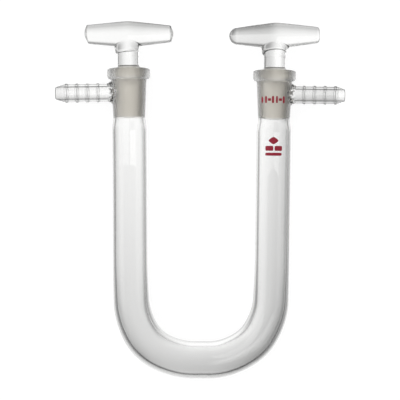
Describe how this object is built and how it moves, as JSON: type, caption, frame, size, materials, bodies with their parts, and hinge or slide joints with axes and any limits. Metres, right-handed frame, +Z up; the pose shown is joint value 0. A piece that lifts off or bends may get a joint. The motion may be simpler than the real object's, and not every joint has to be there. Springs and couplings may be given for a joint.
{
  "type": "U-shaped drying tube with ground stoppers",
  "caption": "Glass U-shaped drying tube with ground sockets, barbed side arms and T-handled stoppers that turn to open or shut the gas way.",
  "frame": {"origin": "bottom centre of the bounding box, on the surface that the tube lies on", "axes": "+Z up, +Y along the limbs from the bend to the stoppers, X across the two limbs; the tube leans back by its rest angle, with its bend and both rims on the surface"},
  "size_m": [0.1354, 0.1682, 0.0202],
  "materials": {
    "clear_glass": "clear, fire-polished borosilicate",
    "ground_glass": "fine ground, matt and translucent",
    "red_enamel": "fired-on enamel marks"
  },
  "bodies": {
    "tube": {"u_tube": "clear_glass"},
    "left_plug": {"left_stopper": "clear_glass"},
    "right_plug": {"right_stopper": "clear_glass"}
  },
  "joints": [
    {"name": "left_stopper_turn", "type": "hinge", "parent": "tube", "child": "left_plug", "pos_m": [-0.03357, 0.06147, 0.01016], "axis": [-0.0122, 0.9998, 0.0157], "continuous": true},
    {"name": "right_stopper_turn", "type": "hinge", "parent": "tube", "child": "right_plug", "pos_m": [0.03487, 0.06047, 0.01014], "axis": [0.0122, 0.9998, 0.0157], "continuous": true}
  ]
}
